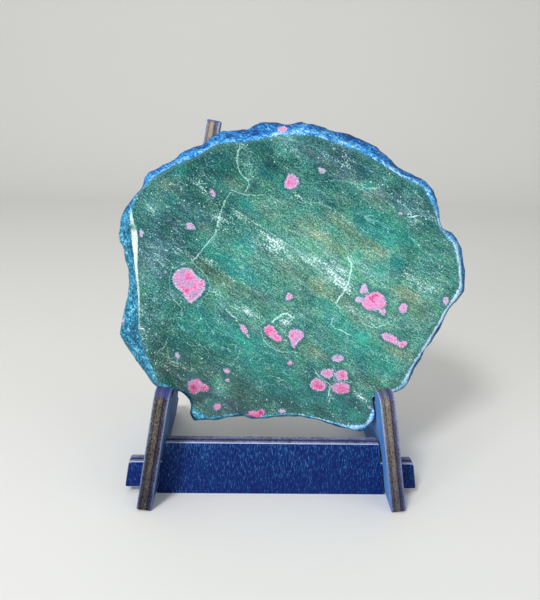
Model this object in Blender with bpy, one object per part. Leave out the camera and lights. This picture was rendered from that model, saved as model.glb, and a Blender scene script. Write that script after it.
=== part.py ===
"""Polished slab of ruby in zoisite on a three-piece plywood easel.

Metres, +Z up, -Y towards the viewer. The origin is the middle of the cross bar's underside.
"""
import math

import bmesh
import bpy
from mathutils import Euler, Matrix, Vector, noise

MM = 0.001
GAP = 0.3 * MM                       # clearance kept between pieces that touch

# Plywood stand
PLY = 5.0 * MM                       # sheet thickness of all three stand pieces
PLATE_LEAN = math.radians(9.5)       # each side plate leans inwards at the top
INNER_AT_FLOOR = 41.0 * MM           # centre line to a plate's inner face at the floor
PLATE_FRONT = -13.2 * MM             # front edge of a plate
PLATE_BACK = 60.0 * MM               # back end of a plate's foot
FOOT_HEIGHT = 8.0 * MM
FRONT_POST_TOP = 43.1 * MM           # measured up the plate
FRONT_CORNER_RADIUS = 3.2 * MM
BACK_POST_WIDTH = 12.0 * MM
BACK_POST_TOP = {"left": 128.6 * MM, "right": 123.4 * MM}
POST_CORNER_RADIUS = 1.6 * MM
GUSSET_TOP = 74.0 * MM               # where the curved back of a plate meets its back post
BAR_HEIGHT = 20.3 * MM
SHOULDER_GAP = 0.4 * MM
LUG_BOTTOM = 2.6 * MM                # the hooked lugs outside the plates
LUG_TOP = 12.7 * MM
LUG_REACH = 52.1 * MM                # centre line to a lug's end, measured at the floor
LUG_CORNER_RADIUS = 0.9 * MM
NECK_BOTTOM = 7.8 * MM
MORTISE_HEIGHT = 10.8 * MM

# Slab, in its own plane: across = X, up = the slab's own height, depth = away from its face
SLAB_LEAN = math.radians(10.0)
SLAB_DATUM = 35.5 * MM               # height at which the polished face crosses the origin plane
SLAB_THICKNESS = 11.4 * MM
WIDEST_DEPTH = 7.0 * MM              # the rough rim is widest this far behind the face
SLAB_CENTRE = (5.0 * MM, 42.0 * MM)
LEDGE_UP = -0.6 * MM                 # seat of the stand, in the slab's own height
RING_SPACING = 2.1 * MM

# Widest line of the slab, clockwise from the upper left: across, up and the width of the rough
# rim between that line and the edge of the polished face, all in millimetres.
SLAB_OUTLINE = (
    (-31.4, 84.7, 4.3), (-25.3, 87.0, 3.2), (-22.3, 89.9, 4.0), (-19.6, 91.3, 5.0),
    (-10.5, 92.5, 5.1), (-5.5, 94.6, 6.0), (3.0, 94.3, 4.3), (7.4, 94.9, 4.2),
    (14.2, 94.0, 4.7), (17.7, 92.5, 4.4), (24.5, 91.1, 4.8), (33.2, 87.6, 4.9),
    (42.1, 80.4, 3.5), (51.6, 75.7, 3.4), (54.6, 72.1, 3.4), (55.9, 68.0, 3.2),
    (57.7, 60.2, 2.3), (60.8, 58.8, 3.5), (63.9, 55.2, 3.7), (65.7, 49.7, 3.9),
    (66.7, 40.3, 3.7), (65.3, 36.4, 3.7), (61.3, 30.7, 3.5), (58.7, 24.9, 3.5),
    (50.8, 10.9, 3.5), (48.2, 4.5, 3.6), (43.9, 1.7, 3.0), (38.0, 1.1, 1.6),
    (34.5, 0.9, 0.5), (35.1, -3.0, 0.4), (35.7, -6.6, 1.0), (35.2, -9.6, 2.6),
    (34.0, -11.6, 3.4), (32.0, -12.9, 3.8), (29.6, -13.2, 3.7), (15.0, -9.1, 3.2),
    (5.4, -8.0, 3.2),
    (-6.0, -9.0, 3.3), (-9.9, -8.2, 3.2), (-13.7, -8.1, 3.3), (-21.8, -9.5, 3.7),
    (-27.9, -9.5, 3.6), (-29.5, -7.0, 2.8), (-29.3, -3.0, 2.4), (-32.5, 0.8, 2.7),
    (-37.0, 1.4, 3.0), (-42.1, 3.4, 3.7), (-52.8, 18.6, 9.1), (-53.7, 23.3, 9.4),
    (-51.3, 35.5, 6.4), (-51.4, 43.0, 5.7), (-52.6, 50.4, 6.3), (-54.0, 53.8, 7.3),
    (-54.0, 57.2, 7.1), (-53.5, 61.3, 6.2), (-52.4, 64.0, 5.0), (-49.7, 68.4, 3.4),
    (-46.3, 71.9, 2.6), (-45.1, 75.2, 3.6), (-43.9, 76.9, 3.8), (-36.5, 80.9, 2.6),
)

# Section through the rim: depth, share of the rim width still missing, further inset,
# and how strongly the rough lumps show there. Depth and inset are in millimetres.
RIM_SECTION = (
    (0.0, 1.00, 0.00, 0.0),
    (0.5, 0.90, 0.00, 0.25),
    (1.4, 0.72, 0.00, 0.9),
    (2.5, 0.54, 0.00, 1.0),
    (3.7, 0.35, 0.00, 1.0),
    (5.1, 0.15, 0.00, 0.8),
    (7.0, 0.00, 0.00, 0.35),
    (8.3, 0.00, 0.45, 0.7),
    (9.6, 0.00, 1.00, 0.8),
    (10.7, 0.00, 1.60, 0.4),
    (11.4, 0.00, 2.10, 0.0),
)
LUMP_HEIGHT = 0.8 * MM
LUMP_SIZE = 6.5 * MM
CHIP_HEIGHT = 0.35 * MM
CHIP_SIZE = 2.6 * MM


def clear_scene():
    for old in list(bpy.data.objects):
        bpy.data.objects.remove(old, do_unlink=True)


def material(name, colour, roughness):
    made = bpy.data.materials.new(name)
    made.use_nodes = True
    shader = made.node_tree.nodes["Principled BSDF"]
    shader.inputs["Base Color"].default_value = (*colour, 1.0)
    shader.inputs["Roughness"].default_value = roughness
    shader.inputs["Metallic"].default_value = 0.0
    return made


# ---- slab ----

def catmull_rom(before, start, end, after, t):
    """Point at t on the smooth curve from start to end."""
    return 0.5 * (2 * start + (end - before) * t
                  + (2 * before - 5 * start + 4 * end - after) * t * t
                  + (3 * start - before - 3 * end + after) * t * t * t)


def smooth_loop(points, spacing):
    """Closed smooth curve through the points, sampled about every spacing."""
    samples = []
    for index, start in enumerate(points):
        end = points[(index + 1) % len(points)]
        steps = max(1, round((end - start).xy.length / spacing))
        before, after = points[index - 1], points[(index + 2) % len(points)]
        samples += [catmull_rom(before, start, end, after, step / steps) for step in range(steps)]
    return samples


def slab_to_world(across, up, depth):
    sine, cosine = math.sin(SLAB_LEAN), math.cos(SLAB_LEAN)
    return Vector((across, up * sine + depth * cosine, SLAB_DATUM + up * cosine - depth * sine))


def lumps(across, up, depth):
    """Rough broken rock: broad lumps with smaller chips on them."""
    place = Vector((across, up, depth))
    broad = noise.noise(place / LUMP_SIZE + Vector((3.1, 7.7, 1.9)))
    fine = noise.noise(place / CHIP_SIZE)
    return LUMP_HEIGHT * broad + CHIP_HEIGHT * fine


def near_stand(across, up):
    """True where the rim sits on the stand's seats or stands beside a plate."""
    return 31 * MM < abs(across) < 44 * MM and up < 5 * MM


def slab_ring(widest, depth, missing, inset, roughness):
    """One ring of the rim: the widest line pulled in towards the slab's centre."""
    ring = []
    for point in widest:
        away = Vector((point.x - SLAB_CENTRE[0], point.y - SLAB_CENTRE[1]))
        calm = 0.15 if near_stand(point.x, point.y) else 1.0
        change = roughness * calm * lumps(point.x, point.y, depth) - missing * point.z - inset
        across = point.x + away.normalized().x * change
        up = point.y + away.normalized().y * change
        ring.append(slab_to_world(across, up, depth))
    return ring


def loft(name, rings):
    """Closed solid through rings of equal count, with a flat face at each end."""
    mesh = bmesh.new()
    rows = [[mesh.verts.new(point) for point in ring] for ring in rings]
    count = len(rows[0])
    for near, far in zip(rows, rows[1:]):
        for i in range(count):
            j = (i + 1) % count
            mesh.faces.new((near[i], near[j], far[j], far[i]))
    mesh.faces.new(rows[0])
    mesh.faces.new(reversed(rows[-1]))
    bmesh.ops.recalc_face_normals(mesh, faces=mesh.faces[:])
    data = bpy.data.meshes.new(name)
    mesh.to_mesh(data)
    mesh.free()
    return bpy.data.objects.new(name, data)


def make_slab():
    outline = [Vector((across, up, rim)) * MM for across, up, rim in SLAB_OUTLINE]
    widest = smooth_loop(outline, RING_SPACING)
    rings = [slab_ring(widest, depth * MM, missing, inset * MM, roughness)
             for depth, missing, inset, roughness in RIM_SECTION]
    return loft("slab", rings)


# ---- stand ----

def arc(centre, radius, start, end, steps):
    """Points on a circle from start to end, in degrees."""
    angles = [math.radians(start + (end - start) * step / steps) for step in range(steps + 1)]
    return [(centre[0] + radius * math.cos(angle), centre[1] + radius * math.sin(angle))
            for angle in angles]


def bezier(start, handle, end, steps):
    """Quadratic curve from start to end."""
    points = []
    for step in range(steps + 1):
        t = step / steps
        weights = ((1 - t) ** 2, 2 * t * (1 - t), t * t)
        points.append(tuple(sum(w * p[axis] for w, p in zip(weights, (start, handle, end)))
                            for axis in (0, 1)))
    return points


def face_line(height):
    """Where the slab's polished face crosses a plate, by height up the plate."""
    return (height * math.cos(PLATE_LEAN) - SLAB_DATUM) * math.tan(SLAB_LEAN)


def back_line(height):
    """Where the slab's back lies against a plate, with its gap."""
    return face_line(height) + SLAB_THICKNESS / math.cos(SLAB_LEAN) + GAP


def rounded_top(height):
    """Top of the back post, from its back edge over to its front edge."""
    radius = POST_CORNER_RADIUS
    back = (back_line(height) + BACK_POST_WIDTH - radius, height - radius)
    front = (back_line(height) + radius, height - radius)
    return arc(back, radius, 0, 90, 4) + arc(front, radius, 90, 180, 4)


def front_bump():
    """Low rounded stop in front of the slab, from the seat over to the plate's front edge."""
    seat = (SLAB_DATUM + LEDGE_UP) / math.cos(PLATE_LEAN)
    stop_back = face_line(seat) - 2 * GAP
    radius = FRONT_CORNER_RADIUS
    corner = (PLATE_FRONT + radius, FRONT_POST_TOP - radius)
    crown = (corner[0], FRONT_POST_TOP)
    over = bezier((stop_back, seat + 1.5 * MM), (stop_back - 0.5 * MM, FRONT_POST_TOP), crown, 9)
    return [(stop_back, seat)] + over[:-1] + arc(corner, radius, 90, 180, 6)


def plate_outline(post_top):
    """Side plate seen from the right: depth along the stand, height up the plate."""
    seat = (SLAB_DATUM + LEDGE_UP) / math.cos(PLATE_LEAN)
    seat_drop = (SLAB_THICKNESS + 3 * GAP) * math.sin(SLAB_LEAN)
    seat_back = seat - seat_drop
    foot = (PLATE_BACK, FOOT_HEIGHT)
    gusset_end = (back_line(GUSSET_TOP) + BACK_POST_WIDTH, GUSSET_TOP)
    outline = [(PLATE_FRONT, 0.0), (PLATE_BACK, 0.0)]
    outline += bezier(foot, (31 * MM, 17 * MM), gusset_end, 12)
    outline += rounded_top(post_top)
    outline.append((back_line(seat_back), seat_back))
    outline += front_bump()
    return outline


def mortise_outline():
    """Slot in a side plate that a lug passes through before its neck drops down."""
    bottom = (NECK_BOTTOM - GAP - PLY * math.sin(PLATE_LEAN)) / math.cos(PLATE_LEAN)
    half = PLY / 2 + GAP
    top = bottom + MORTISE_HEIGHT
    return [(-half, bottom), (half, bottom), (half, top), (-half, top)]


def rounded_corner(corner, before, after, radius, steps=4):
    """Replaces a corner by a smooth bend between its two edges."""
    corner, before, after = Vector(corner), Vector(before), Vector(after)
    start = corner + (before - corner).normalized() * radius
    end = corner + (after - corner).normalized() * radius
    return bezier(start, corner, end, steps)


def bar_half():
    """Right half of the cross bar seen from the front, from its underside to its top."""
    slope = math.tan(PLATE_LEAN)
    plate_width = PLY / math.cos(PLATE_LEAN)

    def shoulder(height):
        return INNER_AT_FLOOR - SHOULDER_GAP - height * slope, height

    def hook(height):
        return INNER_AT_FLOOR + plate_width + SHOULDER_GAP - height * slope, height

    def lug_end(height):
        return LUG_REACH - height * slope, height

    low_inner, low_outer = hook(LUG_BOTTOM), lug_end(LUG_BOTTOM)
    top_outer, top_inner = lug_end(LUG_TOP), shoulder(LUG_TOP)
    points = [shoulder(0.0), shoulder(NECK_BOTTOM), hook(NECK_BOTTOM), low_inner]
    points += rounded_corner(low_outer, low_inner, top_outer, LUG_CORNER_RADIUS)
    points += rounded_corner(top_outer, low_outer, top_inner, LUG_CORNER_RADIUS)
    return points + [top_inner, shoulder(BAR_HEIGHT)]


def bar_outline():
    right = bar_half()
    left = [(-across, height) for across, height in reversed(right)]
    return right + left


def flat_piece(name, outline, holes, placing):
    """Sheet of plywood cut to an outline, centred on its own thickness."""
    curve = bpy.data.curves.new(name, "CURVE")
    curve.dimensions = "2D"
    curve.fill_mode = "BOTH"
    curve.extrude = PLY / 2
    for loop in (outline, *holes):
        spline = curve.splines.new("POLY")
        spline.points.add(len(loop) - 1)
        for point, (x, y) in zip(spline.points, loop):
            point.co = (x, y, 0.0, 1.0)
        spline.use_cyclic_u = True
    piece = bpy.data.objects.new(name, curve)
    piece.matrix_world = placing
    return piece


def make_plate(side):
    sign = 1 if side == "right" else -1
    upright = Euler((math.pi / 2, 0.0, math.pi / 2)).to_matrix().to_4x4()
    lean = Matrix.Rotation(-sign * PLATE_LEAN, 4, "Y")
    outward = Vector((sign * math.cos(PLATE_LEAN), 0.0, math.sin(PLATE_LEAN)))
    middle = Vector((sign * INNER_AT_FLOOR, 0.0, 0.0)) + outward * PLY / 2
    placing = Matrix.Translation(middle) @ lean @ upright
    return flat_piece(side + "_side_plate", plate_outline(BACK_POST_TOP[side]),
                      [mortise_outline()], placing)


def make_bar():
    upright = Euler((math.pi / 2, 0.0, 0.0)).to_matrix().to_4x4()
    return flat_piece("cross_bar", bar_outline(), [], upright)


def main():
    clear_scene()
    parts = bpy.data.collections.new("ruby_in_zoisite")
    bpy.context.scene.collection.children.link(parts)
    rock = material("zoisite_slab", (0.12, 0.27, 0.19), 0.2)
    plywood = material("dark_plywood", (0.16, 0.19, 0.26), 0.75)
    pieces = ((make_slab(), rock), (make_plate("left"), plywood),
              (make_plate("right"), plywood), (make_bar(), plywood))
    for piece, finish in pieces:
        piece.data.materials.append(finish)
        parts.objects.link(piece)


main()
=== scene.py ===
import itertools
import math
from types import SimpleNamespace

import bmesh
import bpy
import numpy as np
from mathutils import Matrix, Vector, geometry


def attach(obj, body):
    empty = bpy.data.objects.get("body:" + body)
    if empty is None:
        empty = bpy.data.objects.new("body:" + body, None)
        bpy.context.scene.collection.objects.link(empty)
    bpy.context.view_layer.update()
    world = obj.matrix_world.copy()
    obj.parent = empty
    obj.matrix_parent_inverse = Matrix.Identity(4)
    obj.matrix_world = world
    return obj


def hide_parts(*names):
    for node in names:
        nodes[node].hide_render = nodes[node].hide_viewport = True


# A polished slab of ruby in zoisite on a plywood easel. Metres in Blender, millimetres in the
# tables and formulas below; +Z is up and the viewer looks along +Y.
mm = 0.001

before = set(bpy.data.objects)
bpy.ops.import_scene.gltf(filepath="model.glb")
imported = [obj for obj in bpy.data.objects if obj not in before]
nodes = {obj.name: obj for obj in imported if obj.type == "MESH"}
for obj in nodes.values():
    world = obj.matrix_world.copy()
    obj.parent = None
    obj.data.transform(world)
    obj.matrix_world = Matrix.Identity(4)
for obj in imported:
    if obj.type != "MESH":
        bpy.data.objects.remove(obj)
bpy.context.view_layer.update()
print("frame loaded:", sorted(nodes))


def linear(colour):
    # "#rrggbb" as sRGB, turned to linear light with an alpha of 1
    parts = [int(colour[place:place + 2], 16) / 255 for place in (1, 3, 5)]
    return [part / 12.92 if part <= 0.04045 else ((part + 0.055) / 1.055) ** 2.4
            for part in parts] + [1.0]


def addNode(tree, kind, inputs=None, out=0, **settings):
    # one node with its settings and links; an input is a socket, a "#rrggbb" or a plain value,
    # and stops fill a colour ramp. Returns the output socket asked for.
    node = tree.nodes.new("ShaderNode" + kind)
    for name, value in settings.items():
        if name != "stops":
            setattr(node, name, value)
            continue
        ramp = node.color_ramp.elements
        while len(ramp) < len(value):
            ramp.new(0.5)
        for stop, (position, colour) in zip(ramp, value):
            stop.position, stop.color = position, linear(colour)
    for key, value in (inputs or {}).items():
        if isinstance(value, bpy.types.NodeSocket):
            tree.links.new(value, node.inputs[key])
        else:
            node.inputs[key].default_value = linear(value) if isinstance(value, str) else value
    return node.outputs[out]


def newMaterial(name, roughness, specular, colour="#808080"):
    # a dielectric: metallic 0, its fixed values set on the shader's own sockets
    made = bpy.data.materials.new(name)
    made.use_nodes = True
    shader = made.node_tree.nodes["Principled BSDF"]
    shader.inputs["Base Color"].default_value = linear(colour)
    shader.inputs["Roughness"].default_value = roughness
    shader.inputs["Metallic"].default_value = 0.0
    shader.inputs["Specular IOR Level"].default_value = specular
    return made, made.node_tree, shader


def scatter(cell, seed):
    # repeatable values from 0 to 1, one for each whole-numbered cell
    x, y, z = (cell[..., axis].astype(np.int64) for axis in range(3))
    mixed = (x * 374761393 + y * 668265263 + z * 1440662683 + seed * 1274126177) & 0xFFFFFFFF
    mixed = ((mixed ^ (mixed >> 13)) * 1274126177) & 0xFFFFFFFF
    return ((mixed ^ (mixed >> 16)) & 0xFFFF) / 0xFFFF


def softNoise(place, size, seed):
    # random values on a cubic lattice of that size, blended by an S-curve, from -1 to 1
    scaled = place / size
    cell = np.floor(scaled)
    ease = scaled - cell
    ease = ease * ease * (3 - 2 * ease)
    total = 0.0
    for corner in itertools.product((0, 1), repeat=3):
        share = np.prod(np.where(np.array(corner) > 0, ease, 1 - ease), axis=-1)
        total = total + share * scatter(cell + np.array(corner), seed)
    return total * 2 - 1


def between(low, high, value):
    # 0 below low, 1 above high, an S-curve between
    t = np.clip((value - low) / (high - low), 0, 1)
    return t * t * (3 - 2 * t)


def smoothAlong(grid, axis, count, closed):
    # Catmull-Rom curve through the grid's points along one axis, sampled at count even places
    size = grid.shape[axis]
    spans = size if closed else size - 1
    where = np.arange(count) * spans / (count if closed else count - 1)
    start = np.minimum(where.astype(int), spans - 1)
    t = (where - start).reshape([-1 if k == axis else 1 for k in range(grid.ndim)])
    picks = [start + step for step in (-1, 0, 1, 2)]
    picks = [pick % size if closed else np.clip(pick, 0, size - 1) for pick in picks]
    a, b, c, d = (np.take(grid, pick, axis) for pick in picks)
    return 0.5 * (2 * b + (c - a) * t + (2 * a - 5 * b + 4 * c - d) * t ** 2
                  + (3 * b - a - 3 * c + d) * t ** 3)


def newPiece(name, points, faces, material, maps):
    # a mesh from points in mm, with one vector attribute for each map
    mesh = bpy.data.meshes.new(name)
    mesh.from_pydata((points * mm).tolist(), [], faces)
    for title, values in maps.items():
        layer = mesh.attributes.new(title, "FLOAT_VECTOR", "POINT")
        layer.data.foreach_set("vector", np.asarray(values, np.float32).ravel())
    mesh.materials.append(material)
    mesh.shade_smooth()
    mesh.update()
    piece = bpy.data.objects.new(name, mesh)
    bpy.context.scene.collection.objects.link(piece)
    return piece


view = {
    "place": (-8.1, -201.5, 130.9),     # mm
    "turnRight": 1.73, "lookDown": 16.44, "roll": 1.38,     # degrees
    "focal": 38.4, "sensor": 36.0,
}


def addCamera():
    lens = bpy.data.cameras.new("viewCamera")
    lens.lens, lens.sensor_width, lens.sensor_fit = view["focal"], view["sensor"], "AUTO"
    lens.clip_start, lens.clip_end = 0.01, 20.0
    camera = bpy.data.objects.new("viewCamera", lens)
    bpy.context.scene.collection.objects.link(camera)
    turn = (Matrix.Rotation(-math.radians(view["turnRight"]), 4, "Z")
            @ Matrix.Rotation(math.radians(90 - view["lookDown"]), 4, "X")
            @ Matrix.Rotation(math.radians(view["roll"]), 4, "Z"))
    camera.matrix_world = Matrix.Translation(Vector(view["place"]) * mm) @ turn
    bpy.context.scene.camera = camera


slab = {
    "lean": 10.0,                # degrees that the face leans back
    "datum": 35.5,               # mm above the floor at which the face crosses the stand's middle
    "centre": (5.0, 42.0),       # mm across and up, where the spokes meet
    "spokes": 640,
    "faceRows": 56, "rimRows": 40, "backRows": 28,
    "arris": 1.0,                # mm of rounding between the face and the rim
    "lip": 0.35, "lipDrop": 0.03, "shoulder": 0.25, "shoulderDrop": 0.1,      # mm, its ends
    "bevelSlope": 0.25,          # mm that the left bevel drops for each mm of its width
    "backEdge": ((0.15, 0.12), (0.8, 0.0)),      # mm inward and mm short of the back
    # mm up the face, and mm that the left bevel is wider there
    "leftBevel": ((33, 0.0), (38, 0.2), (47, 0.5), (53, 1.5), (57, 1.9), (61, 0.7), (65, 0.0)),
    "leftOut": 1.5,              # mm by which the face's left edge lies outside the solid's face
    "leftFade": (0.75, 0.97),    # how far to the left a spoke points where the bevel comes in
    "polished": 0.75,            # mm of the rounding which took the polish
    "bevelDull": 0.45,           # mm of the left bevel, next to the rim, which took none
    # mm: each relief of the rim as its size, its depth and the seed of its noise
    "broad": (3.4, 0.45, 3), "chips": (1.5, 0.22, 5), "grit": (0.8, 0.1, 7),
    "roughFront": (1.0, 2.6), "roughBack": (0.6, 1.6),      # mm from the polish and from the back
    # mm over which the rim turns smooth where the stand holds it: from the middle outward, at the
    # seat's outer side, and downward
    "seatInner": (29, 32), "seatOuter": (46, 43), "seatTop": (8, 5),
    "backReach": 30.0,           # mm that the back counts as being from the polish
    # mm: the pattern's shift across and up on the back, its wander, that noise's size and its seed
    "backDrift": ((3, 5, 19.0, 11), (-2, 5, 17.0, 13)),
    "foliation": 32.0,           # degrees by which the rock's grain falls to the right
}


def worldFromSlab(place):
    # (across, up, depth) to world millimetres
    lean = math.radians(slab["lean"])
    across, up, depth = np.moveaxis(place, -1, 0)
    return np.stack([across, up * math.sin(lean) + depth * math.cos(lean),
                     slab["datum"] + up * math.cos(lean) - depth * math.sin(lean)], -1)


def slabFromWorld(place):
    lean = math.radians(slab["lean"])
    x, y, z = np.moveaxis(place, -1, 0)
    z = z - slab["datum"]
    return np.stack([x, y * math.sin(lean) + z * math.cos(lean),
                     y * math.cos(lean) - z * math.sin(lean)], -1)


def cadRings(node):
    # the solid's rim as a grid: one row for each depth, one column for each direction
    place = np.empty(len(node.data.vertices) * 3)
    node.data.vertices.foreach_get("co", place)
    place = np.unique(np.round(slabFromWorld(place.reshape(-1, 3) / mm), 2), axis=0)
    rings = []
    for level in np.unique(np.round(place[:, 2], 1)):
        ring = place[np.abs(place[:, 2] - level) < 0.05]
        angle = np.arctan2(ring[:, 1] - slab["centre"][1], ring[:, 0] - slab["centre"][0])
        rings.append(ring[np.argsort(angle)])
    return np.stack(rings)


def outward(place, guard=0.0):
    # unit directions over the face, away from the slab's centre
    away = place[:, :2] - slab["centre"]
    return away / (np.linalg.norm(away, axis=1, keepdims=True) + guard)


def pulledIn(ring, distance, depth):
    # a ring moved towards the slab's centre, at that depth
    flat = ring[:, :2] - outward(ring) * distance
    return np.column_stack([flat, np.broadcast_to(depth, (len(ring), 1))])


def gridNormals(grid):
    # unit normals of a closed band, from the steps along its rows and columns
    alongRow = np.roll(grid, -1, 1) - np.roll(grid, 1, 1)
    acrossRows = np.gradient(grid, axis=0)
    normal = np.cross(alongRow, acrossRows)
    return normal / np.linalg.norm(normal, axis=-1, keepdims=True)


def rimRelief(place):
    # how deep the rock is broken away: three sizes of noise, the broad one folded into ridges
    size, depth, seed = slab["broad"]
    relief = depth * np.abs(softNoise(place, size, seed))
    for size, depth, seed in (slab["chips"], slab["grit"]):
        relief = relief + depth * (0.5 + 0.5 * softNoise(place, size, seed))
    return relief


def leftShare(place):
    # 1 at the far left, where the polish runs out over a bevel, down to 0
    return between(*slab["leftFade"], -outward(place)[:, 0])


def rimRings(rings):
    # the solid's rings with an arris, the left bevel and a rounded back edge put in; also how wide
    # the polished rounding is, and the outline at which the polish ends
    front, back = rings[0], rings[-1]
    thick = back[0, 2]
    left = leftShare(front)[:, None]
    front = pulledIn(front, -slab["leftOut"] * left, 0.0)
    height, extra = np.array(slab["leftBevel"]).T
    wide = slab["arris"] + (left > 0) * np.interp(front[:, 1:2], height, extra)
    polished = slab["polished"] + left * (wide - slab["bevelDull"])
    faceEdge = pulledIn(front, wide - polished, 0.0)[:, :2]
    lip, shoulder = slab["lip"], slab["shoulder"]
    drop = slab["lipDrop"] + (wide - lip - shoulder) * slab["bevelSlope"]
    rows = [pulledIn(front, wide, 0.0), pulledIn(front, wide - lip, slab["lipDrop"]),
            pulledIn(front, shoulder, drop), pulledIn(front, 0.0, drop + slab["shoulderDrop"])]
    rows += list(rings[1:-1])
    rows += [pulledIn(back, inset, thick - short) for inset, short in slab["backEdge"]]
    return np.stack(rows), polished, faceEdge


def spokesTo(middle, ring, count):
    # rings at even steps from a middle point out towards a ring
    share = ((np.arange(count) + 1) / (count + 1))[:, None, None]
    return middle + (ring - middle) * share


def slabGrid():
    # rows from the middle of the face, out over the rim, to the middle of the back
    rings = cadRings(nodes["slab"])
    thick = rings[-1][0, 2]
    rows, polished, faceEdge = rimRings(rings)
    rim = smoothAlong(smoothAlong(rows, 1, slab["spokes"], True), 0, slab["rimRows"], False)
    rim[..., 2] = np.clip(rim[..., 2], 0, thick)
    steps = np.linalg.norm(np.diff(rim, axis=0), axis=-1)
    reach = np.vstack([np.zeros(slab["spokes"]), np.cumsum(steps, axis=0)])
    toBack = reach[-1] - reach
    reach = reach - smoothAlong(polished, 0, slab["spokes"], True)[:, 0]
    beside = np.abs(rim[..., 0])
    calm = 1 - 0.9 * (between(*slab["seatInner"], beside) * between(*slab["seatOuter"], beside)
                      * between(*slab["seatTop"], rim[..., 1]))
    rough = between(*slab["roughFront"], reach) * between(*slab["roughBack"], toBack) * calm
    rim = rim - gridNormals(rim) * (rimRelief(rim) * rough)[..., None]
    middle = np.array([*slab["centre"], 0.0])
    face = spokesTo(middle, rim[0], slab["faceRows"])
    behind = spokesTo(middle + (0, 0, thick), rim[-1], slab["backRows"])[::-1]
    reaches = np.concatenate([np.full(face.shape[:2], -1.0), reach,
                              np.full(behind.shape[:2], slab["backReach"])])
    return np.concatenate([face, rim, behind]), reaches, faceEdge, thick


def bandQuads(rows, columns):
    # quads between neighbouring rows of a closed band
    column = np.arange(columns)
    beside = (column + 1) % columns
    start = (np.arange(rows - 1) * columns)[:, None]
    return np.stack([start + column, start + columns + column, start + columns + beside,
                     start + beside], -1).reshape(-1, 4)


def bandFaces(rows, columns):
    # the band's quads, and a fan at each end round one of the two points that follow its own
    column = np.arange(columns)
    beside = (column + 1) % columns
    last = (rows - 1) * columns
    first = np.stack([np.full(columns, rows * columns), column, beside], -1)
    final = np.stack([np.full(columns, rows * columns + 1), last + beside, last + column], -1)
    return bandQuads(rows, columns).tolist() + first.tolist() + final.tolist()


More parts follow.
